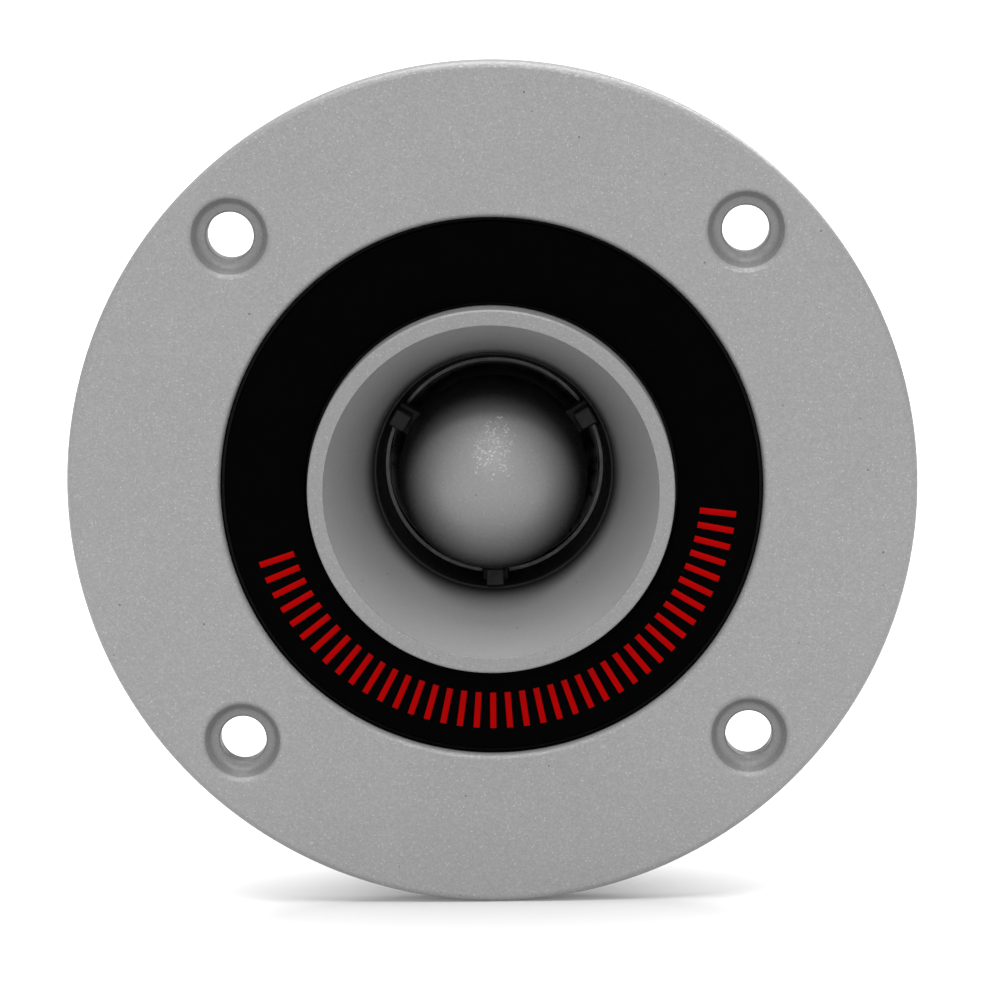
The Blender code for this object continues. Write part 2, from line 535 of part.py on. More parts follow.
def settle_parts():
    """Applies the modifiers, shades the parts smooth up to their sharp edges, drops the cutters."""
    graph = bpy.context.evaluated_depsgraph_get()
    solids = [obj for obj in PARTS.objects if obj.type == "MESH"]
    shaped = [bpy.data.meshes.new_from_object(obj.evaluated_get(graph)) for obj in solids]
    for obj, mesh in zip(solids, shaped):
        obj.modifiers.clear()
        obj.data = mesh
        mesh.name = obj.name
        mesh.shade_smooth()
        mesh.set_sharp_from_angle(angle=SHARP_EDGE)
    for cutter in list(CUTTERS.objects):
        bpy.data.objects.remove(cutter)
    bpy.data.collections.remove(CUTTERS)


def main():
    make_horn_casting()
    make_trim_ring()
    make_phase_plug()
    make_plug_spider()
    ring("throat_ring", THROAT_RING_R, SPIDER_R, SPIDER_REAR - GAP, SPIDER_REAR - GAP - THROAT_RING_T,
         "bright_aluminium")
    ring("horn_gasket", GASKET_IN_R, FRAME_OUT_R, GASKET_TOP, GASKET_TOP - GASKET_T, "foam")
    make_screws()
    make_moving_system()
    make_diaphragm_frame()
    make_motor()
    make_terminal_housing()
    for name, side in SIDES.items():
        make_button(name, side)
        make_contact(name, side)
        make_lead(name, side)
    settle_parts()


main()
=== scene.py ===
"""Looks of the horn tweeter: fine turned pieces, procedural finishes, floor, light and camera."""
import math

import bmesh
import bpy
from mathutils import Matrix, Vector


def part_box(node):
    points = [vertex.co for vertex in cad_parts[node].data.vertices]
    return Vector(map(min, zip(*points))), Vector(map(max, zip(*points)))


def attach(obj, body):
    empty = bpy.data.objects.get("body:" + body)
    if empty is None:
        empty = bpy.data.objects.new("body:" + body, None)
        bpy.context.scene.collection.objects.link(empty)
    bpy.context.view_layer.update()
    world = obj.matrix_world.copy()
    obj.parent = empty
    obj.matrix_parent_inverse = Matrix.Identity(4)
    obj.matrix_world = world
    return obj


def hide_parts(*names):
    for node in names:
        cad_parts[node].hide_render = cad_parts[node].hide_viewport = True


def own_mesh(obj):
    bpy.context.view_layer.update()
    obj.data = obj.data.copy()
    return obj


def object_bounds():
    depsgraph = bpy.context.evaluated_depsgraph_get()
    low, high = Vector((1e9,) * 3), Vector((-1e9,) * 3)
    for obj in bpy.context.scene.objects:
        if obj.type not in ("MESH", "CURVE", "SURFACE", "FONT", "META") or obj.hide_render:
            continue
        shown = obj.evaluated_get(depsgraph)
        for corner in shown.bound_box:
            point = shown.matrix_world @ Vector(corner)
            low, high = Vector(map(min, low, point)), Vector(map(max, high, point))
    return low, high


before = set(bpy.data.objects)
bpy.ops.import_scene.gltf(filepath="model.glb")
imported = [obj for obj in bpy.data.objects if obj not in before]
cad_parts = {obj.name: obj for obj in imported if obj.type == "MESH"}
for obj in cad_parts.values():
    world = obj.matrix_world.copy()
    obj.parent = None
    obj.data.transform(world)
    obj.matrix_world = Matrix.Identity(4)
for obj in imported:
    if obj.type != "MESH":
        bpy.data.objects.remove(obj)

CAD_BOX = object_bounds()

# Lengths are in millimetres and pieces are laid out face up: z runs forward along the horn's
# axis, from zero on the flange's rear face. STAND turns that into the frame's metres.
MM = 0.001
STAND = Matrix.Rotation(math.pi / 2, 4, "X") @ Matrix.Scale(MM, 4)
GAP = 0.3
SHARP_EDGE = math.radians(32)
SAME_POINT, SLIVER = 1e-5, 1e-4    # points this close are one, and edges this short are removed
FINEST, FINE, MEDIUM, SMALL, COARSE, LEAST = 240, 192, 128, 96, 64, 48    # segments round a turned piece
NORMAL_WEIGHT = 80    # how much large faces outweigh small ones in the normals; 50 is even


def span(node):
    """Front, rear and outer radius of a CAD node about the horn's axis."""
    low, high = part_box(node)
    return -low.y / MM, -high.y / MM, (high.x - low.x) / 2 / MM


def centre_x(node):
    """Where a CAD node sits from side to side."""
    low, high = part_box(node)
    return (low.x + high.x) / 2 / MM


# ---------------------------------------------------------------- finishes

MIX_SHARE, MIX_FIRST, MIX_SECOND, MIX_RESULT = 0, 6, 7, 2    # a Mix node's sockets for colours
RING_PERIOD = 0.31    # about how far apart a wave texture's rings are at scale 1
NOISE_RANGE = 0.25, 0.75    # where most of a noise texture's values lie
CONVEX_RANGE = 0.53, 0.60    # Pointiness on an edge; it is 0.5 where a surface is flat
PAINTED_THROAT_SHADE = 0.0015    # how dark the paint is painted deep in the throat: painted shade
COAT_ROUGHNESS = 0.08
TARNISH = 0.3    # how far the stains on a metal cover its colour


class Finish:
    """A material whose nodes all read the object's own coordinates, in metres."""

    def __init__(self, name, colour, metallic=0.0, roughness=0.5, **sockets):
        self.material = bpy.data.materials.new(name)
        self.material.use_nodes = True
        self.tree = self.material.node_tree
        self.shader = self.tree.nodes["Principled BSDF"]
        self.place = self.node("ShaderNodeTexCoord").outputs["Object"]
        self.normal = None
        self.set(self.shader, "Metallic", metallic)
        self.set(self.shader, "Roughness", roughness)
        for socket, value in sockets.items():
            self.set(self.shader, socket.replace("_", " "), value)
        self.colour = self.rgb(colour)
        self.set(self.shader, "Base Color", self.colour)

    @staticmethod
    def rgb(value):
        """A grey number or a colour as four numbers."""
        return (value, value, value, 1.0) if isinstance(value, float) else (*value, 1.0)

    def node(self, kind, **settings):
        """A new node of a kind, with its settings."""
        made = self.tree.nodes.new(kind)
        for key, value in settings.items():
            setattr(made, key, value)
        return made

    def set(self, node, socket, value):
        """Links an output to a socket, or sets the socket's own value."""
        if isinstance(value, bpy.types.NodeSocket):
            self.tree.links.new(value, node.inputs[socket])
        else:
            node.inputs[socket].default_value = value

    def stretched(self, scale):
        """The coordinates, scaled by a different factor each way."""
        mapping = self.node("ShaderNodeMapping")
        self.set(mapping, "Vector", self.place)
        self.set(mapping, "Scale", scale)
        return mapping.outputs["Vector"]

    def noise(self, size, detail=2.0, place=None):
        """Soft noise from 0 to 1, with features of about that many millimetres."""
        made = self.node("ShaderNodeTexNoise")
        self.set(made, "Vector", place or self.place)
        self.set(made, "Scale", 1 / (size * MM))
        self.set(made, "Detail", detail)
        return made.outputs["Fac"]

    def cells(self, size):
        """Random cells of that size: the distance from each one's centre, and its random number."""
        made = self.node("ShaderNodeTexVoronoi")
        self.set(made, "Vector", self.place)
        self.set(made, "Scale", 1 / (size * MM))
        split = self.node("ShaderNodeSeparateColor")
        self.set(split, "Color", made.outputs["Color"])
        return made.outputs["Distance"], split.outputs["Red"]

    def rings(self, size):
        """Fine grooves round the horn's axis, as a lathe leaves them."""
        made = self.node("ShaderNodeTexWave", wave_type="RINGS", rings_direction="Y")
        self.set(made, "Vector", self.place)
        self.set(made, "Scale", RING_PERIOD / (size * MM))
        self.set(made, "Distortion", 0.5)
        self.set(made, "Detail", 2.0)
        self.set(made, "Detail Scale", 1.5)
        return made.outputs["Fac"]

    def remap(self, value, low, high, to_low=0.0, to_high=1.0, curve="LINEAR"):
        """A value from low to high, moved to lie from to_low to to_high, and held at those ends."""
        made = self.node("ShaderNodeMapRange", interpolation_type=curve)
        for socket, number in (("Value", value), ("From Min", low), ("From Max", high),
                               ("To Min", to_low), ("To Max", to_high)):
            self.set(made, socket, number)
        return made.outputs["Result"]

    def depth(self, start, end):
        """A share that grows from 0 to 1 between two heights on the horn's axis, going back."""
        split = self.node("ShaderNodeSeparateXYZ")
        self.set(split, "Vector", self.place)
        return self.remap(split.outputs["Y"], -start * MM, -end * MM, curve="SMOOTHSTEP")

    def product(self, first, second):
        """Two values multiplied."""
        made = self.node("ShaderNodeMath", operation="MULTIPLY")
        self.set(made, 0, first)
        self.set(made, 1, second)
        return made.outputs["Value"]

    def tint(self, share, colour):
        """Mixes a colour over what the surface has so far, where share is 1."""
        made = self.node("ShaderNodeMix", data_type="RGBA")
        for socket, value in ((MIX_SHARE, share), (MIX_FIRST, self.colour),
                              (MIX_SECOND, self.rgb(colour))):
            self.set(made, socket, value)
        self.colour = made.outputs[MIX_RESULT]
        self.set(self.shader, "Base Color", self.colour)

    def rough(self, value, low, high):
        """Roughness that varies with a value from 0 to 1."""
        self.set(self.shader, "Roughness", self.remap(value, *NOISE_RANGE, low, high))

    def bump(self, height, depth, strength=1.0):
        """Relief of that depth in millimetres, over the relief so far."""
        made = self.node("ShaderNodeBump")
        self.set(made, "Strength", strength)
        self.set(made, "Distance", depth * MM)
        self.set(made, "Height", height)
        if self.normal:
            self.set(made, "Normal", self.normal)
        self.normal = made.outputs["Normal"]
        self.set(self.shader, "Normal", self.normal)

    def glints(self, size, tilt, weight):
        """A clear coat over flakes: each small cell leans its own way and catches the light alone."""
        flakes = self.node("ShaderNodeTexVoronoi")
        self.set(flakes, "Vector", self.place)
        self.set(flakes, "Scale", 1 / (size * MM))
        lean = self.node("ShaderNodeVectorMath", operation="MULTIPLY_ADD")
        self.set(lean, 0, flakes.outputs["Color"])
        self.set(lean, 1, (2 * tilt,) * 3)
        self.set(lean, 2, (-tilt,) * 3)
        leaning = self.node("ShaderNodeVectorMath", operation="ADD")
        self.set(leaning, 0, self.node("ShaderNodeNewGeometry").outputs["Normal"])
        self.set(leaning, 1, lean.outputs["Vector"])
        unit = self.node("ShaderNodeVectorMath", operation="NORMALIZE")
        self.set(unit, 0, leaning.outputs["Vector"])
        self.set(self.shader, "Coat Normal", unit.outputs["Vector"])
        self.set(self.shader, "Coat Weight", weight)
        self.set(self.shader, "Coat Roughness", COAT_ROUGHNESS)

    def edge_wear(self, colour):
        """Rubbed edges: the colour shows, brokenly, where the surface is convex."""
        convex = self.remap(self.node("ShaderNodeNewGeometry").outputs["Pointiness"], *CONVEX_RANGE)
        broken = self.remap(self.noise(0.35, 3.0), 0.45, 0.65)
        self.tint(self.product(convex, broken), colour)


def silver_paint(name, value, sparkle, mottle, shade_depths=None, lacquer=0.15):
    """Metallic paint: mottled, with bright flakes that are partly painted glints, a few dark pits, and a
    fine orange peel. Where two heights are given, it darkens between them, going back into the throat:
    painted shade."""
    made = Finish(name, value, metallic=0.25, roughness=0.5, Specular_IOR_Level=0.3)
    made.tint(made.remap(made.noise(9.0, 3.0), 0.35, 0.65, 0.0, 0.12), value * 1.25)
    made.tint(made.remap(made.noise(0.30, 3.0), 0.45, 0.72, 0.0, mottle), value * 1.4)
    made.tint(made.remap(made.noise(0.24, 2.0), 0.58, 0.36, 0.0, mottle), value * 0.75)
    # The bright flakes are partly real flakes and partly painted glints: their sparkle is put in the
    # colour.
    for size, rarity, bright in ((0.15, 0.80, 1.3), (0.22, 0.93, 1.6), (0.30, 0.985, 2.0)):
        distance, chance = made.cells(size)
        spot = made.remap(distance, 0.5, 0.15)
        chosen = made.remap(chance, rarity, rarity + 0.03, 0.0, sparkle)
        made.tint(made.product(spot, chosen), value * bright)
    distance, chance = made.cells(0.9)
    pit = made.product(made.remap(distance, 0.16, 0.08), made.remap(chance, 0.975, 0.985))
    made.tint(pit, value * 0.3)
    # Painted shade: the paint darkens going back into the throat.
    if shade_depths:
        made.tint(made.depth(*shade_depths), PAINTED_THROAT_SHADE)
    made.rough(made.noise(0.35, 2.0), 0.42, 0.60)
    made.bump(made.noise(1.3, 2.0), 0.02, 0.5)
    made.bump(made.noise(0.22, 2.0), 0.008, 0.5 * sparkle)
    made.glints(0.2, 0.18, lacquer)
    return made.material


def black_plastic(name, value, specular, grain):
    """Moulded plastic, paler in patches, with a fine spark-eroded grain."""
    made = Finish(name, value, roughness=0.5, Specular_IOR_Level=specular)
    made.tint(made.remap(made.noise(3.0, 3.0), 0.4, 0.7, 0.0, 0.25), value * 2.2)
    made.rough(made.noise(0.6, 3.0), 0.38, 0.62)
    distance, _ = made.cells(0.16)
    made.bump(distance, 0.012, grain)
    made.bump(made.noise(0.9, 3.0), 0.01, grain)
    return made.material


def coloured_plastic(name, colour, scuff, specular=0.4):
    """Smooth plastic or ink with scuffs of a second colour."""
    made = Finish(name, colour, roughness=0.42, Specular_IOR_Level=specular)
    made.tint(made.remap(made.noise(1.6, 3.0), 0.45, 0.75, 0.0, 0.35), scuff)
    made.rough(made.noise(0.7, 3.0), 0.34, 0.55)
    made.bump(made.noise(0.25, 2.0), 0.008, 0.5)
    return made.material


def metal(name, colour, dull, roughness, groove=None, worn=None):
    """Bare or plated metal with stains and a varying shine. It has lathe rings where a groove's width is
    given, and rubbed edges where a colour is given for them."""
    made = Finish(name, colour, metallic=1.0, roughness=roughness)
    made.tint(made.remap(made.noise(4.0, 4.0), 0.42, 0.7, 0.0, TARNISH), dull)
    made.tint(made.remap(made.noise(0.5, 3.0), 0.6, 0.75, 0.0, TARNISH), dull)
    made.rough(made.noise(1.2, 4.0), roughness * 0.75, roughness * 1.5)
    if groove:
        made.bump(made.rings(groove), 0.012, 0.5)
    made.bump(made.noise(0.3, 3.0), 0.006, 0.5)
    if worn:
        made.edge_wear(worn)
    return made.material


def make_finishes():
    """Every finish, by the name that the pieces ask for."""
    made = {
        "paint": silver_paint("silver_paint", 0.282, 1.0, 0.36, lacquer=0.4),
        # The lip's plateau: a darker copy of the paint, painted shade.
        "lip_paint_shaded": silver_paint("silver_paint_lip", 0.25, 1.0, 0.34),
        # The screw holes' dishes: a darker copy of the paint, painted shade in the recesses.
        "hole_paint_shaded": silver_paint("silver_paint_hole", 0.20, 0.6, 0.25),
        # The flare: a lighter copy of the paint, painted light, that darkens into the throat as painted
        # shade.
        "flare_paint_lit_shaded": silver_paint("silver_paint_flare", 0.345, 0.15, 0.08, (-4.2, -9.2)),
        # The plug: a darker copy of the paint that darkens towards its base, both painted shade.
        "plug_paint_shaded": silver_paint("silver_paint_plug", 0.202, 0.6, 0.16, (4.6, -2.8), 0.28),
        "black_trim": black_plastic("black_trim", 0.0004, 0.01, 0.25),
        # The recess under the trim ring is made near black: painted shade.
        "recess_painted_shade": black_plastic("recess_painted_shade", 0.004, 0.10, 0.5),
        "black_spider": black_plastic("black_spider", 0.011, 0.15, 0.5),
        "black_plastic": black_plastic("black_plastic", 0.014, 0.4, 0.8),
        "red_plastic": coloured_plastic("red_plastic", (0.42, 0.008, 0.008), (0.55, 0.03, 0.03)),
        "red_ink": coloured_plastic("red_ink", (0.40, 0.0, 0.0), (0.33, 0.0, 0.0), 0.03),
        "red_wire": coloured_plastic("red_wire", (0.50, 0.012, 0.010), (0.35, 0.01, 0.01)),
        "black_wire": coloured_plastic("black_wire", (0.015, 0.015, 0.016), (0.04, 0.04, 0.04)),
        # The throat ring's aluminium and the dome's titanium are far darker than their metals: painted
        # shade deep in the throat.
        "bright_aluminium": metal(
            "bright_aluminium", (0.07, 0.07, 0.072), (0.035, 0.035, 0.036), 0.35, 0.12),
        "titanium": metal("titanium", (0.07, 0.07, 0.072), (0.04, 0.04, 0.042), 0.3, 0.3),
        "black_oxide": metal("black_oxide", (0.05, 0.05, 0.055), (0.02, 0.018, 0.016), 0.4),
        "brass": metal("brass", (0.50, 0.36, 0.15), (0.32, 0.21, 0.08), 0.3),
        "copper": metal("copper", (0.72, 0.30, 0.15), (0.40, 0.14, 0.06), 0.3, 0.2),
        "spring_steel": metal("spring_steel", (0.6, 0.6, 0.62), (0.35, 0.35, 0.36), 0.25),
        "zinc_steel": metal("zinc_steel", (0.35, 0.355, 0.375), (0.25, 0.255, 0.265), 0.34, 0.35,
                            worn=(0.55, 0.55, 0.57)),
        "polyimide": coloured_plastic("polyimide", (0.35, 0.13, 0.02), (0.22, 0.07, 0.01)),
    }

    ferrite = Finish("ferrite", (0.030, 0.030, 0.033), metallic=0.1, roughness=0.6,
                     Specular_IOR_Level=0.45)
    ferrite.tint(ferrite.remap(ferrite.noise(2.5, 5.0), 0.42, 0.68, 0.0, 0.6), (0.055, 0.054, 0.056))
    distance, chance = ferrite.cells(0.35)
    fleck = ferrite.product(ferrite.remap(distance, 0.3, 0.1), ferrite.remap(chance, 0.9, 0.95))
    ferrite.tint(fleck, (0.13, 0.13, 0.135))
    ferrite.rough(ferrite.noise(0.8, 4.0), 0.45, 0.8)
    ferrite.bump(ferrite.noise(0.35, 5.0), 0.03, 0.8)
    ferrite.bump(ferrite.noise(4.0, 3.0), 0.08, 0.4)
    ferrite.edge_wear((0.09, 0.09, 0.095))
    made["ferrite"] = ferrite.material

    foam = Finish("foam", (0.022, 0.022, 0.022), roughness=0.95, Specular_IOR_Level=0.2)
    distance, _ = foam.cells(0.22)
    foam.tint(foam.remap(distance, 0.15, 0.4), (0.045, 0.045, 0.045))
    foam.bump(distance, 0.06, 1.0)
    made["foam"] = foam.material

    felt = Finish("felt", (0.16, 0.16, 0.17), roughness=1.0, Specular_IOR_Level=0.1, Sheen_Weight=0.4)
    fibre = felt.noise(0.5, 5.0, felt.stretched((1.0, 6.0, 0.35)))
    felt.tint(felt.remap(fibre, 0.35, 0.65), (0.26, 0.26, 0.27))
    felt.bump(fibre, 0.08, 1.0)
    made["felt"] = felt.material
    return made


FINISHES = make_finishes()


# ---------------------------------------------------------------- shapes

def rounded(corners, steps=5):
    """A closed profile from corners (radius, z, fillet): each corner with a fillet becomes an arc."""
    points = []
    for i, (r, z, fillet) in enumerate(corners):
        here = Vector((r, z))
        if not fillet:
            points.append(here)
            continue
        before = (Vector(corners[i - 1][:2]) - here).normalized()
        after = (Vector(corners[(i + 1) % len(corners)][:2]) - here).normalized()
        half = before.angle(after) / 2
        centre = here + (before + after).normalized() * fillet / math.sin(half)
        reach = fillet / math.tan(half)
        start, end = (here + way * reach - centre for way in (before, after))
        first, turn = math.atan2(start.y, start.x), end.angle_signed(start)
        points += [centre + fillet * Vector((math.cos(first + turn * k / steps),
                                             math.sin(first + turn * k / steps)))
                   for k in range(steps + 1)]
    return points


def polar(radius, angle, z=0.0):
    """The point at a radius, an angle in degrees and a height."""
    return Vector((radius * math.cos(math.radians(angle)), radius * math.sin(math.radians(angle)), z))


def turned(profile, steps=FINEST, at=(0, 0, 0)):
    """A solid of revolution from a closed profile; points at radius zero close it on the axis."""
    bm = bmesh.new()
    rows = []
    for k in range(steps):
        angle = 2 * math.pi * k / steps
        rows.append([bm.verts.new((r * math.cos(angle), r * math.sin(angle), z)) for r, z in profile])
    for k, row in enumerate(rows):
        other = rows[(k + 1) % steps]
        for i in range(len(profile)):
            j = (i + 1) % len(profile)
            if max(profile[i][0], profile[j][0]) > 0:
                bm.faces.new((row[i], other[i], other[j], row[j]))
    bmesh.ops.remove_doubles(bm, verts=bm.verts, dist=SAME_POINT)
    bmesh.ops.recalc_face_normals(bm, faces=bm.faces)
    bmesh.ops.translate(bm, verts=bm.verts, vec=Vector(at))
    return bm


def rod(radius, top, bottom, steps=COARSE, at=(0, 0), fillet=0.0, turn=None):
    """A cylinder between two heights, its rims rounded, turned about its own origin if asked."""
    bm = turned(rounded([(0, top, 0), (radius, top, fillet), (radius, bottom, fillet), (0, bottom, 0)]),
                steps)
    if turn:
        bm.transform(turn)
    bmesh.ops.translate(bm, verts=bm.verts, vec=Vector(at).to_3d())
    return bm


def block(low, high, turn=0.0, fillet=0.0, steps=3):
    """A box between two corners with rounded edges, turned in degrees round the horn's axis."""
    low, high = Vector(low), Vector(high)
    bm = bmesh.new()
    bmesh.ops.create_cube(
        bm, size=1.0, matrix=Matrix.Translation((low + high) / 2) @ Matrix.Diagonal((*(high - low), 1)))
    if fillet:
        bmesh.ops.bevel(bm, geom=bm.edges[:], offset=fillet, segments=steps, profile=0.5,
                        affect="EDGES", clamp_overlap=True)
    bm.transform(Matrix.Rotation(math.radians(turn), 4, "Z"))
    return bm


def sweep(points, radius, sides=14):
    """A round wire along a list of points, with flat ends."""
    bm = bmesh.new()
    across = (points[1] - points[0]).normalized().orthogonal().normalized()
    rings = []
    for i, here in enumerate(points):
        nearby = points[min(i + 1, len(points) - 1)] - points[max(i - 1, 0)]
        nearby.normalize()
        across = (across - nearby * across.dot(nearby)).normalized()
        beside = nearby.cross(across)
        rings.append([bm.verts.new(here + radius * (across * math.cos(a) + beside * math.sin(a)))
                      for a in (2 * math.pi * k / sides for k in range(sides))])
    for first, second in zip(rings, rings[1:]):
        for k in range(sides):
            bm.faces.new((first[k], first[(k + 1) % sides], second[(k + 1) % sides], second[k]))
    for end in (rings[0], rings[-1]):
        bm.faces.new(end)
    bmesh.ops.recalc_face_normals(bm, faces=bm.faces)
    return bm


def smooth_route(points, per_span=10):
    """Points read from a smooth curve through the given ones."""
    padded = [points[0] * 2 - points[1], *points, points[-1] * 2 - points[-2]]
    route = []
    for before, start, end, after in zip(padded, padded[1:], padded[2:], padded[3:]):
        for i in range(per_span):
            t = i / per_span
            route.append(0.5 * (
                2 * start + (end - before) * t
                + (2 * before - 5 * start + 4 * end - after) * t ** 2
                + (3 * start - before - 3 * end + after) * t ** 3))
    return route + [points[-1]]


def mesh_from(bm, name):
    """A mesh from a bmesh, which is used up."""
    mesh = bpy.data.meshes.new(name)
    bm.to_mesh(mesh)
    bm.free()
    return mesh


def joined(shapes):
    """Shapes that don't touch, as one bmesh."""
    whole = bmesh.new()
    for shape in shapes:
        part = mesh_from(shape, "part")
        whole.from_mesh(part)
        bpy.data.meshes.remove(part)
    return whole


def combine(base, tools, operation="DIFFERENCE"):
    """Cuts or joins all the tools at once, with an exact boolean; they must not overlap."""
    objects = [bpy.data.objects.new(name, mesh_from(shape, name))
               for name, shape in (("base", base), ("tool", joined(tools)))]
    for obj in objects:
        bpy.context.scene.collection.objects.link(obj)
        obj.scale = (MM, MM, MM)    # both are at their real size while they are combined
    boolean = objects[0].modifiers.new("boolean", "BOOLEAN")
    boolean.operation, boolean.solver, boolean.object = operation, "EXACT", objects[1]
    graph = bpy.context.evaluated_depsgraph_get()
    mesh = bpy.data.meshes.new_from_object(objects[0].evaluated_get(graph))
    result = bmesh.new()
    result.from_mesh(mesh)
    for obj in objects:
        old = obj.data
        bpy.data.objects.remove(obj)
        bpy.data.meshes.remove(old)
    bpy.data.meshes.remove(mesh)
    bmesh.ops.dissolve_degenerate(result, edges=result.edges, dist=SLIVER)
    return result


def show(name, bm, finish, body="root", nodes=(), smooth=True):
    """Stands a shape up in the frame as a piece that rides on a body, in place of CAD nodes."""
    mesh = mesh_from(bm, name)
    mesh.transform(STAND)
    mesh.materials.append(FINISHES[finish])
    mesh.shade_smooth()
    mesh.set_sharp_from_angle(angle=SHARP_EDGE)
    obj = bpy.data.objects.new(name, mesh)
    bpy.context.scene.collection.objects.link(obj)
    if smooth:
        weighted = obj.modifiers.new("weighted", "WEIGHTED_NORMAL")
        weighted.keep_sharp = True
        weighted.weight = NORMAL_WEIGHT
    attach(obj, body)
    if nodes:
        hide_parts(*nodes)
    return obj


# ---------------------------------------------------------------- sizes that pieces share

FLANGE_T, RECESS_R, RECESS_Z, LIP_R, MOUTH_R, THROAT_R, THROAT_Z = 4.0, 31.9, 2.2, 21.5, 19.6, 14.4, -8.6
NECK_R, POCKET_R, SEAT_R, SEAT_TOP, SEAT_Z = 19.6, 17.3, 23.4, -10.6, -14.6
BARREL_R, BARREL_WALL, WEB_Z = 33.5, 2.3, -1.4
FLARE_STEPS, FLARE_CURVE = 40, 1.15
MOUTH_TURN = (0.0, 0.16), (0.02, 0.09), (0.06, 0.03), (0.12, 0.0)    # out and down, from flare to lip

HOLE_ANGLES, HOLE_CIRCLE_R, HOLE_R, HOLE_HEAD_R = (45, 135, 225, 315), 42.5, 2.75, 4.5
HOLE_HEAD_DEPTH, HOLE_ROUND, HOLE_DISH_FILLET, HOLE_EDGE, HOLE_BACK_EDGE = 1.4, 0.8, 0.9, 0.2, 0.15

BOSS_ANGLES, BOSS_R, BOSS_CIRCLE_R = (0, 90, 180, 270), 4.6, 27.3
SCREW_R, SCREW_HEAD_R, SCREW_HEAD_T = 2.0, 3.5, 3.1
PIN_ANGLES, PIN_HOLE_R, PIN_CIRCLE_R = (0, 180), 1.25, 19.7

DOME_BASE_R, DOME_BASE_Z, DOME_RISE, DOME_T, DOME_STEPS = 12.3, -16.6, 3.6, 0.3, 24
DOME_SPHERE_R = (DOME_BASE_R ** 2 + DOME_RISE ** 2) / (2 * DOME_RISE)
DOME_CENTRE_Z = DOME_BASE_Z + DOME_RISE - DOME_SPHERE_R
ROLL_CENTRE_R, ROLL_R, ROLL_STEPS, DOME_RIM_R = 14.4, 1.5, 12, 16.7

SIDES = {"black": -1, "red": 1}    # which side of the middle each terminal is on
LEAD_ANGLES = {"black": 247, "red": 293}
EAR_WIDTH, EAR_ROOM = 5.0, 1.2
TERMINAL_SCREW_X, TERMINAL_HOLE_R = 14.9, 1.55
CONTACT_Z, CONTACT_T, BUTTON_TRAVEL = -46.2, 0.4, 2.2
PAST = 1    # how far a cutter goes on past the face that it cuts


# ---------------------------------------------------------------- horn

def casting_finish(r, z, lip_z, hole_distance):
    """The finish of a face of the casting, from its radius, its height and its distance to the nearest
    screw hole's axis. The bounds have small margins, for the rounded edges."""
    # The flare takes a lighter copy of the paint, painted light, that darkens into the throat: painted
    # shade.
    if r < MOUTH_R + 0.02 and z < lip_z - MOUTH_TURN[0][1]:
        return "flare_paint_lit_shaded"
    if LIP_R - 0.01 < r < RECESS_R + 0.01 and WEB_Z + 0.1 < z < RECESS_Z + 1.6:
        return "recess_painted_shade"    # the recess under the trim ring, made near black: painted shade
    # The lip's plateau takes a darker copy of the paint: painted shade.
    if r < LIP_R and z > lip_z - 0.12:
        return "lip_paint_shaded"
    # The screw holes' dishes take a darker copy of the paint: painted shade in the recesses.
    if 0.05 < z < FLANGE_T - 0.35 and hole_distance < HOLE_HEAD_R + 0.6:
        return "hole_paint_shaded"
    return "paint"


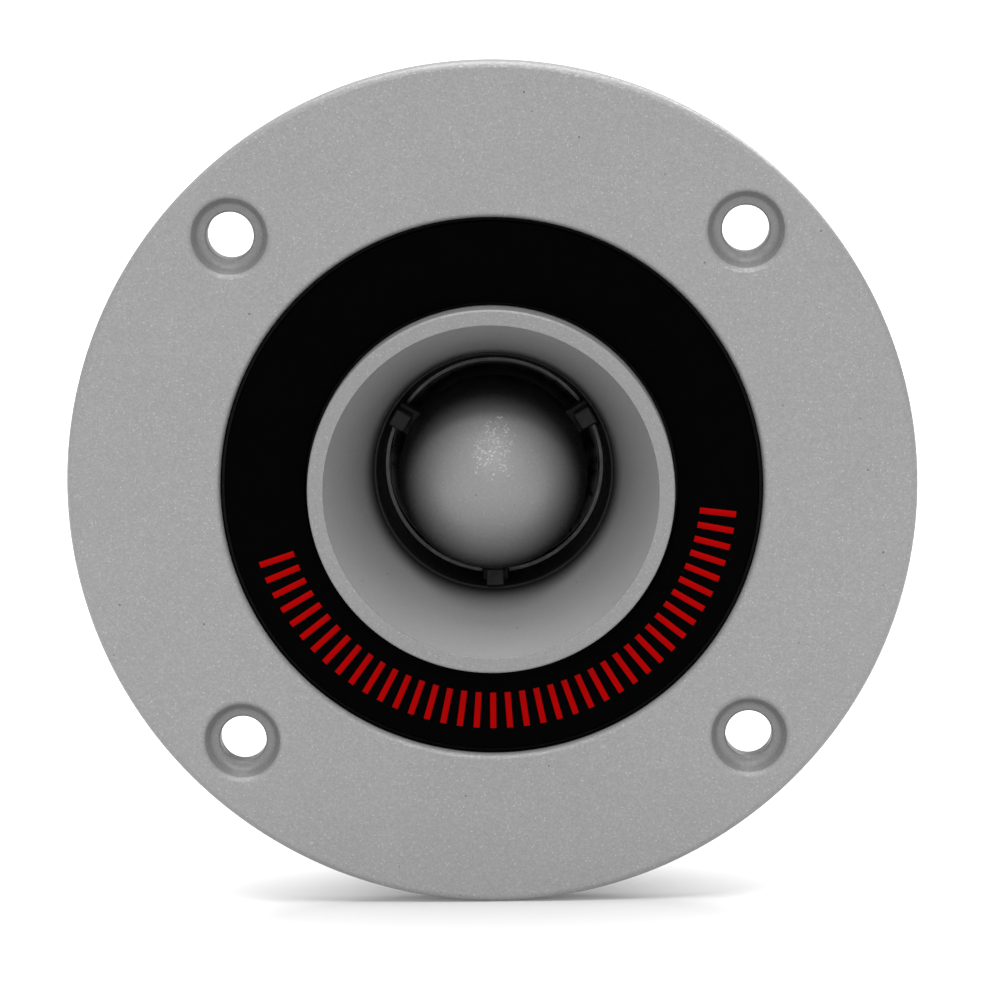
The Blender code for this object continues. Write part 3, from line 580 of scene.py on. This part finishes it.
def make_horn_casting():
    """The flange, bell and barrel in one, with the bores for the screws and four bosses inside."""
    lip_z, barrel_z, flange_r = span("horn_casting")
    inside = BARREL_R - BARREL_WALL
    mouth_z = lip_z - MOUTH_TURN[0][1]
    flare = [(THROAT_R + (MOUTH_R - THROAT_R) * (i / FLARE_STEPS) ** FLARE_CURVE,
              THROAT_Z + (mouth_z - THROAT_Z) * i / FLARE_STEPS) for i in range(FLARE_STEPS + 1)]
    corners = [
        (MOUTH_R + MOUTH_TURN[-1][0], lip_z, 0), (LIP_R, lip_z, 0.3), (LIP_R, RECESS_Z, 0.15),
        (RECESS_R, RECESS_Z, 0.15), (RECESS_R, FLANGE_T, 0.75), (flange_r, FLANGE_T, 0.85),
        (flange_r, 0, 0.35), (BARREL_R, 0, 0.6), (BARREL_R, barrel_z, 0.3), (inside, barrel_z, 0.3),
        (inside, WEB_Z, 0.6), (LIP_R, WEB_Z, 0), (NECK_R, THROAT_Z, 0), (NECK_R, SEAT_TOP, 0.4),
        (SEAT_R, SEAT_TOP, 0.4), (SEAT_R, SEAT_Z, 0.2), (POCKET_R, SEAT_Z, 0.2), (POCKET_R, THROAT_Z, 0)]
    turn_over = [(MOUTH_R + out, lip_z - down) for out, down in MOUTH_TURN[1:-1]]
    casting = turned(rounded(corners) + flare + turn_over)
    half_step = Matrix.Rotation(math.pi / COARSE, 4, "Z")    # the bosses' edges miss the bores' edges
    bosses = [rod(BOSS_R, WEB_Z + 0.5, barrel_z + 0.1, at=polar(BOSS_CIRCLE_R, a), turn=half_step)
              for a in BOSS_ANGLES]
    casting = combine(casting, bosses, "UNION")

    head_floor = RECESS_Z - SCREW_HEAD_T - 2 * GAP
    bore = [(0, lip_z), (SCREW_HEAD_R + GAP, lip_z), (SCREW_HEAD_R + GAP, head_floor),
            (SCREW_R + GAP, head_floor), (SCREW_R + GAP, barrel_z - PAST), (0, barrel_z - PAST)]
    cutters = [turned(bore, COARSE, polar(BOSS_CIRCLE_R, a)) for a in BOSS_ANGLES]
    floor = FLANGE_T - HOLE_HEAD_DEPTH
    wall = rounded([(HOLE_HEAD_R + 2, FLANGE_T, 0), (HOLE_HEAD_R + 0.2, FLANGE_T, HOLE_ROUND),
                    (HOLE_HEAD_R - 0.8, floor, HOLE_DISH_FILLET), (HOLE_R, floor, 0)])[1:-1]
    hole = [(0, FLANGE_T + PAST), (wall[0][0] + 0.02, FLANGE_T + PAST), *wall,
            (HOLE_R + HOLE_EDGE, floor), (HOLE_R, floor - HOLE_EDGE), (HOLE_R, HOLE_BACK_EDGE),
            (HOLE_R + 2 * HOLE_BACK_EDGE, -HOLE_BACK_EDGE), (HOLE_R + 2 * HOLE_BACK_EDGE, -PAST),
            (0, -PAST)]
    cutters += [turned(hole, SMALL, polar(HOLE_CIRCLE_R, a)) for a in HOLE_ANGLES]
    cutters += [block((inside - PAST, -EAR_WIDTH / 2, barrel_z - PAST),
                      (BARREL_R + PAST, EAR_WIDTH / 2, SEAT_Z + EAR_ROOM), a, 0.4)
                for a in LEAD_ANGLES.values()]
    casting = combine(casting, cutters)

    piece = show("horn_casting_fine", casting, "paint", nodes=["horn_casting"])
    finishes = ["paint", "flare_paint_lit_shaded", "recess_painted_shade", "lip_paint_shaded", "hole_paint_shaded"]
    for finish in finishes[1:]:
        piece.data.materials.append(FINISHES[finish])
    hole_centres = [polar(HOLE_CIRCLE_R, a) for a in HOLE_ANGLES]
    for face in piece.data.polygons:
        x, y, z = face.center.x / MM, face.center.z / MM, -face.center.y / MM
        hole_distance = min(math.hypot(x - centre.x, y - centre.y) for centre in hole_centres)
        face.material_index = finishes.index(casting_finish(math.hypot(x, y), z, lip_z, hole_distance))
    return piece


def make_trim_ring():
    """The black ring, and plain red bars along its lower arc."""
    front, rear, outer = span("trim_ring")
    inner = LIP_R + GAP + 0.1
    ring = turned(rounded([(inner, front, 0.25), (outer, front, 0.3), (outer, rear, 0.1),
                           (inner, rear, 0.1)]))
    show("trim_ring_fine", ring, "black_trim", nodes=["trim_ring"])
    count, first, last = 40, 198.0, 353.0
    inner, outer, half_width, sunk, proud = 24.6, 28.9, 0.36, 0.05, 0.04
    bars = [block((inner, -half_width, front - sunk), (outer, half_width, front + proud),
                  first + (last - first) * i / (count - 1), 0.03, 2) for i in range(count)]
    show("trim_bars", joined(bars), "red_ink", smooth=False)


def make_phase_plug():
    """The bullet: a half ellipse on a short cylinder, with a blind hole for its screw."""
    tip, base, radius = span("phase_plug")
    shoulder, bore, bore_end, cone = -6.5, 1.7, -0.4, 0.8
    steps = 36
    nose = [(radius * math.sin(a), shoulder + (tip - shoulder) * math.cos(a))
            for a in (math.radians(90 / steps * i) for i in range(steps + 1))]
    profile = nose + rounded([(radius, shoulder, 0), (radius, base, 0.3), (bore, base, 0),
                              (bore, bore_end - cone, 0)])[1:] + [(0, bore_end)]
    # Its finish is a darker copy of the paint that darkens towards the base: painted shade.
    return show("phase_plug_fine", turned(profile, MEDIUM), "plug_paint_shaded",
                nodes=["phase_plug"])


def make_plug_spider():
    """The ring, hub, arms and fins that hold the plug in the throat."""
    _, rear, outer = span("plug_spider")
    front, front_r, rear_r = THROAT_Z - GAP, 14.1, 12.95
    hub_r, hub_front, hub_edge, bore = 10.9, -9.4, 0.2, 1.7
    arm_width, fin_width, fin_inner_r, fin_outer_r, fin_front = 3.2, 2.2, 11.75, 13.9, -7.9
    angles = (30, 150, 270)
    spider = turned(rounded([(front_r, front, 0.15), (outer, front, 0), (outer, rear, 0.1),
                             (rear_r, rear, 0.15)], 3), FINE)
    # The hub's back is hollowed along the dome, a little way off it.
    sphere, steps, step = DOME_SPHERE_R + 0.8, 10, 0.78
    hollow = [(r, DOME_CENTRE_Z + math.sqrt(sphere ** 2 - r ** 2))
              for r in (hub_r - step * i for i in range(steps + 1))]
    hub = turned([(bore, hub_front), (hub_r - hub_edge, hub_front), (hub_r, hub_front - hub_edge),
                  *hollow, (bore, hollow[-1][1] + 1.4)], MEDIUM)
    spider = combine(spider, [hub], "UNION")
    arms = [block((hub_r - 1, -arm_width / 2, rear + 0.3), (outer - 1.5, arm_width / 2, hub_front - 1.5),
                  a, 0.3) for a in angles]
    spider = combine(spider, arms, "UNION")
    fins = [block((fin_inner_r, -fin_width / 2, rear + 0.8), (fin_outer_r, fin_width / 2, fin_front),
                  a, 0.25) for a in angles]
    spider = combine(spider, fins, "UNION")
    show("plug_spider_fine", spider, "black_spider", nodes=["plug_spider"])


# ---------------------------------------------------------------- diaphragm and motor

def make_diaphragm():
    """One thin sheet: the dome, a raised roll round it and a flat rim."""
    edge = math.asin(DOME_BASE_R / DOME_SPHERE_R)
    dome = [(DOME_SPHERE_R * math.sin(edge * i / DOME_STEPS),
             DOME_CENTRE_Z + DOME_SPHERE_R * math.cos(edge * i / DOME_STEPS))
            for i in range(DOME_STEPS + 1)]
    roll = [(ROLL_CENTRE_R - ROLL_R * math.cos(a), DOME_BASE_Z + math.sin(a))
            for a in (math.pi * i / ROLL_STEPS for i in range(ROLL_STEPS + 1))]
    front = dome + roll + [(DOME_RIM_R, DOME_BASE_Z)]
    rear = [(r, z - DOME_T) for r, z in reversed(front)]
    # The titanium finish is darkened far below the metal's own colour: painted shade.
    show("dome_fine", turned(front + rear, MEDIUM), "titanium", "diaphragm",
         ["titanium_diaphragm"])


def make_plain_rings():
    """The plain turned pieces: three rings, and the felt disc on the pole."""
    for node, inner, fillet, finish in (
            ("throat_ring", 12.74, 0.06, "bright_aluminium"), ("horn_gasket", 16.4, 0.2, "foam"),
            ("magnet_ring", 16.5, 0.9, "ferrite")):
        front, rear, outer = span(node)
        ring = turned(rounded([(inner, front, fillet), (outer, front, fillet), (outer, rear, fillet),
                               (inner, rear, fillet)]), FINE)
        show(f"{node}_fine", ring, finish, nodes=[node])
    front, rear, outer = span("damping_felt")
    show("damping_felt_fine", rod(outer, front, rear, MEDIUM, fillet=0.35), "felt",
         nodes=["damping_felt"])


def make_steel():
    """The top plate, and the yoke: the back plate with its pole."""
    front, rear, outer = span("top_plate")
    inner = 13.7
    plate = turned(rounded([(inner, front, 0.2), (outer, front, 0.4), (outer, rear, 0.4),
                            (inner, rear, 0.2)]), FINE)
    holes = [rod(radius, front + PAST, rear - PAST, at=polar(circle, a))
             for radius, circle, angles in ((SCREW_R + GAP, BOSS_CIRCLE_R, BOSS_ANGLES),
                                            (PIN_HOLE_R, PIN_CIRCLE_R, PIN_ANGLES))
             for a in angles]
    show("top_plate_fine", combine(plate, holes), "zinc_steel", nodes=["top_plate"])

    front, rear, outer = span("yoke")
    pole_r, plate_t, hole_depth = 12, 4.5, 3.5
    seat = rear + plate_t
    yoke = turned(rounded([(0, front, 0), (pole_r, front, 0.5), (pole_r, seat, 0.4), (outer, seat, 0.5),
                           (outer, rear, 0.8), (0, rear, 0)]), FINE)
    holes = [rod(TERMINAL_HOLE_R, rear + hole_depth, rear - PAST, at=(side * TERMINAL_SCREW_X, 0))
             for side in SIDES.values()]
    show("yoke_fine", combine(yoke, holes), "zinc_steel", nodes=["yoke"])


# ---------------------------------------------------------------- terminals

ACROSS = Matrix.Rotation(math.pi / 2, 4, "X")    # turns a rod from along the horn's axis to upright


def make_terminal_housing():
    """The block with a well for each button, and its cover with raised polarity marks."""
    well_r, well_roof, button_hole_r = 4.4, 1.5, 3.65
    strip_half_width, strip_end = 1.8, -3.3
    entry_r, entry_z = 1.1, -49.4
    top, rear, half_width = span("terminal_block")
    half_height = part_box("terminal_block")[1].z / MM
    cover_top, cover_rear, _ = span("terminal_cover")
    body = block((-half_width, -half_height, rear), (half_width, half_height, top), fillet=0.8, steps=5)
    cover = block((-half_width, -half_height, cover_rear), (half_width, half_height, cover_top),
                  fillet=0.45, steps=4)
    cuts, cover_cuts, entries = [], [], []
    for name, side in SIDES.items():
        x = centre_x(f"button_{name}")
        cuts.append(rod(well_r, top - well_roof, rear - PAST, at=(x, 0)))
        cover_cuts.append(rod(button_hole_r, cover_top + PAST, cover_rear - PAST, at=(x, 0)))
        for plate_cuts in (cuts, cover_cuts):
            plate_cuts.append(rod(TERMINAL_HOLE_R, top + PAST, cover_rear - PAST,
                                  at=(side * TERMINAL_SCREW_X, 0)))
        cuts.append(block((x - strip_half_width, -half_height - PAST, CONTACT_Z - CONTACT_T - GAP),
                          (x + strip_half_width, strip_end, CONTACT_Z + GAP)))
        entries.append(rod(entry_r, -well_r + PAST, -half_height - PAST, turn=ACROSS,
                           at=(x, 0, entry_z)))
    show("terminal_block_fine", combine(combine(body, cuts), entries), "black_plastic",
         nodes=["terminal_block"])

    cover = combine(cover, cover_cuts)
    black, red = centre_x("button_black"), centre_x("button_red")
    half_length, half_stroke, proud, mark_fillet = 1.1, 0.25, 0.3, 0.08
    strokes = [block((x - half_length, 5.0, cover_rear - 0.2),
                     (x + half_length, 5.5, cover_rear + proud), fillet=mark_fillet)
               for x in (black, red)]
    upright = block((red - half_stroke, 4.15, cover_rear - 0.19),
                    (red + half_stroke, 6.35, cover_rear + proud), fillet=mark_fillet)
    cover = combine(combine(cover, strokes, "UNION"), [upright], "UNION")
    show("terminal_cover_fine", cover, "black_plastic", nodes=["terminal_cover"])


def make_terminal_screws():
    """Two screws with domed heads and crossed slots."""
    shank_r, head_r, head_t = 1.25, 2.4, 1.6
    slot_half_length, slot_half_width, slot_depth = 1.5, 0.3, 0.8
    for name, side in SIDES.items():
        node = f"terminal_screw_{name}"
        tip, rear, _ = span(node)
        seat = rear + head_t
        x = side * TERMINAL_SCREW_X
        shape = rounded([(0, tip, 0), (shank_r, tip, 0.3), (shank_r, seat, 0), (head_r, seat, 0.1),
                         (head_r, rear, 0.9), (0, rear, 0)])
        slots = [block((-slot_half_length, -slot_half_width, rear - PAST),
                       (slot_half_length, slot_half_width, rear + slot_depth), turn) for turn in (0, 90)]
        cross = combine(slots[0], [slots[1]], "UNION")
        bmesh.ops.translate(cross, verts=cross.verts, vec=(x, 0, 0))
        screw = combine(turned(shape, COARSE, (x, 0, 0)), [cross])
        show(f"{node}_fine", screw, "zinc_steel", nodes=[node])


def make_buttons():
    """The two push buttons, each with a collar and a cross hole for the wire, and their coil springs."""
    button_r, collar_r, collar_top, collar_rear = 3.3, 4.1, -53.2, -54.2
    dish_r, dish_floor_r, dish = 1.9, 1.6, 0.35
    hole_r, hole_z, hole_reach = 0.9, -51.6, 5.4
    spring_r, wire_r, turns, steps_a_turn = 2.3, 0.28, 4, 28
    for name in SIDES:
        node = f"button_{name}"
        front, rear, _ = span(node)
        x = centre_x(node)
        finish = "red_plastic" if name == "red" else "black_plastic"
        shape = rounded([
            (0, front, 0), (button_r, front, 0.2), (button_r, collar_top, 0),
            (collar_r, collar_top, 0.15), (collar_r, collar_rear, 0.15),
            (button_r, collar_rear, 0), (button_r, rear, 0.6),
            (dish_r, rear, 0.15), (dish_floor_r, rear + dish, 0.3), (0, rear + dish, 0)])
        button = turned(shape, SMALL, (x, 0, 0))
        cross_hole = rod(hole_r, hole_reach, -hole_reach, LEAST, turn=ACROSS, at=(x, 0, hole_z))
        show(f"{node}_fine", combine(button, [cross_hole]), finish, node, [node])

        node = f"button_spring_{name}"
        top, end, _ = span(node)
        first, last = top - wire_r, end + wire_r
        count = steps_a_turn * turns
        helix = [polar(spring_r, 360 * turns * i / count, first + (last - first) * i / count)
                 + Vector((x, 0, 0)) for i in range(count + 1)]
        spring = show(f"spring_{name}", sweep(helix, wire_r * 0.95), "spring_steel",
                      nodes=[node], smooth=False)
        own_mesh(spring)


def make_leads():
    """The two wires from the solder tabs, along the outside of the magnet, to the contact strips."""
    wire_r, route_r, tab_end, tab_z = 0.7, 34.4, 31.4, -15.75
    strip_z = CONTACT_Z - CONTACT_T / 2
    for name in SIDES:
        node, angle, x = f"lead_wire_{name}", LEAD_ANGLES[name], centre_x(f"button_{name}")
        route = [
            polar(tab_end + GAP, angle, tab_z), polar(route_r - 1.2, angle, tab_z - 0.3),
            polar(route_r, angle, tab_z - 3.0), polar(route_r, angle, -27.6),
            polar(route_r, angle, -34.9), polar(route_r, angle, -41.4),
            polar(route_r - 2.4, angle, strip_z + 0.8),
            Vector((x * 1.2, -22, strip_z)), Vector((x, -14.8, strip_z)), Vector((x, -11.1, strip_z))]
        show(f"{node}_fine", sweep(smooth_route(route), wire_r), f"{name}_wire",
             nodes=[node])


# ---------------------------------------------------------------- stage

FLOOR_HALF = 3.0    # metres
FILL, SEEN = 0.68, 1.0    # how bright the surroundings are as a light, and as the camera sees them


def finish_cad_nodes():
    """Gives every CAD node that stays the finish for its material."""
    kept = {
        "polyimide": ["coil_former"],
        "copper": ["voice_coil", "lead_out_black", "lead_out_red"],
        "zinc_steel": ["plug_screw", "locating_pin_1", "locating_pin_2"],
        "black_plastic": ["diaphragm_frame"],
        "brass": ["solder_tab_black", "solder_tab_red", "contact_black", "contact_red"],
        "black_oxide": [f"horn_screw_{i}" for i in range(1, 5)]}
    for finish, nodes in kept.items():
        for node in nodes:
            for material_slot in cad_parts[node].material_slots:
                material_slot.material = FINISHES[finish]


def make_stage():
    """A white floor under the rim, and white surroundings that are dimmer as a light than they look."""
    mesh = bpy.data.meshes.new("floor")
    half, floor_z = FLOOR_HALF, CAD_BOX[0].z
    corners = ((-half, -half), (half, -half), (half, half), (-half, half))
    mesh.from_pydata([(x, y, floor_z) for x, y in corners], [], [(0, 1, 2, 3)])
    floor = bpy.data.objects.new("floor", mesh)
    bpy.context.scene.collection.objects.link(floor)
    paper = Finish("floor_paper", 0.92, roughness=0.9, Specular_IOR_Level=0.0)
    paper.tint(paper.remap(paper.noise(400.0, 2.0), 0.3, 0.7, 0.0, 1.0), 0.90)
    mesh.materials.append(paper.material)
    floor.visible_diffuse = False    # the floor stays white without lighting the horn from below
    floor_only, off_floor = (bpy.data.collections.new(n) for n in ("floor_only", "off_floor"))
    for collection, state in ((floor_only, "INCLUDE"), (off_floor, "EXCLUDE")):
        collection.objects.link(floor)
        collection.collection_objects[0].light_linking.link_state = state

    world = bpy.data.worlds.new("studio")
    bpy.context.scene.world = world
    world.use_nodes = True
    nodes, links = world.node_tree.nodes, world.node_tree.links
    seen, fill = nodes["Background"], nodes.new("ShaderNodeBackground")
    for background, strength in ((seen, SEEN), (fill, FILL)):
        background.inputs["Color"].default_value = (1, 1, 1, 1)
        background.inputs["Strength"].default_value = strength
    path, mix = nodes.new("ShaderNodeLightPath"), nodes.new("ShaderNodeMixShader")
    links.new(path.outputs["Is Camera Ray"], mix.inputs["Fac"])
    links.new(fill.outputs[0], mix.inputs[1])
    links.new(seen.outputs[0], mix.inputs[2])
    links.new(mix.outputs[0], nodes["World Output"].inputs["Surface"])
    bpy.context.scene.view_settings.view_transform = "Standard"
    return floor_only, off_floor


def direction(azimuth, elevation):
    """The unit vector towards a direction in degrees: azimuth 0 is in front, and elevation 90 above."""
    a, e = math.radians(azimuth), math.radians(elevation)
    return Vector((math.sin(a) * math.cos(e), -math.cos(a) * math.cos(e), math.sin(e)))


def sun(name, receivers, azimuth, elevation, spread, strength, blockers=None):
    """A soft light on the receivers from a direction, its spread in degrees too. Where blockers are
    given, only they shade it."""
    data = bpy.data.lights.new(name, "SUN")
    data.angle, data.energy = math.radians(spread), strength
    obj = bpy.data.objects.new(name, data)
    bpy.context.scene.collection.objects.link(obj)
    obj.rotation_euler = (-direction(azimuth, elevation)).to_track_quat("-Z", "Y").to_euler()
    obj.light_linking.receiver_collection = receivers
    if blockers:
        obj.light_linking.blocker_collection = blockers
    return obj


def make_camera():
    """A long lens a little above the horn's axis, aimed close to the middle of the flange's front."""
    azimuth, elevation, roll = 1.24, 9.6, -0.9
    distance, across, below = 0.480, 0.00101, 0.00132
    focal_length, sensor_width = 147.3, 36.0
    back = direction(azimuth, elevation)
    data = bpy.data.cameras.new("camera")
    data.lens, data.sensor_width = focal_length, sensor_width
    camera = bpy.data.objects.new("camera", data)
    bpy.context.scene.collection.objects.link(camera)
    turn = (-back).to_track_quat("-Z", "Y").to_matrix() @ Matrix.Rotation(math.radians(roll), 3, "Z")
    camera.matrix_world = Matrix.Translation(
        Vector((0, -FLANGE_T * MM, 0)) + back * distance + turn @ Vector((across, -below, 0))
    ) @ turn.to_4x4()
    bpy.context.scene.camera = camera


def main():
    casting = make_horn_casting()
    make_trim_ring()
    plug = make_phase_plug()
    make_plug_spider()
    make_diaphragm()
    make_plain_rings()
    make_steel()
    make_terminal_housing()
    make_terminal_screws()
    make_buttons()
    make_leads()
    finish_cad_nodes()
    floor_only, off_floor = make_stage()
    shade, plug_only = bpy.data.collections.new("shade"), bpy.data.collections.new("plug_only")
    shade.objects.link(casting)
    plug_only.objects.link(plug)
    # name, receivers, azimuth, elevation, spread, strength
    sun("floor_top", floor_only, 0, 102, 70, 4.2, blockers=shade)
    sun("top", off_floor, 0, 95, 50, 2.7)
    sun("key", off_floor, 0, 58, 16, 0.60)
    sun("front", off_floor, 0, 28, 16, 0.90)
    sun("plug_key", plug_only, 0, 62, 6, 1.5).visible_glossy = False
    sun("rear", off_floor, 150, 35, 25, 0.8)
    make_camera()


main()
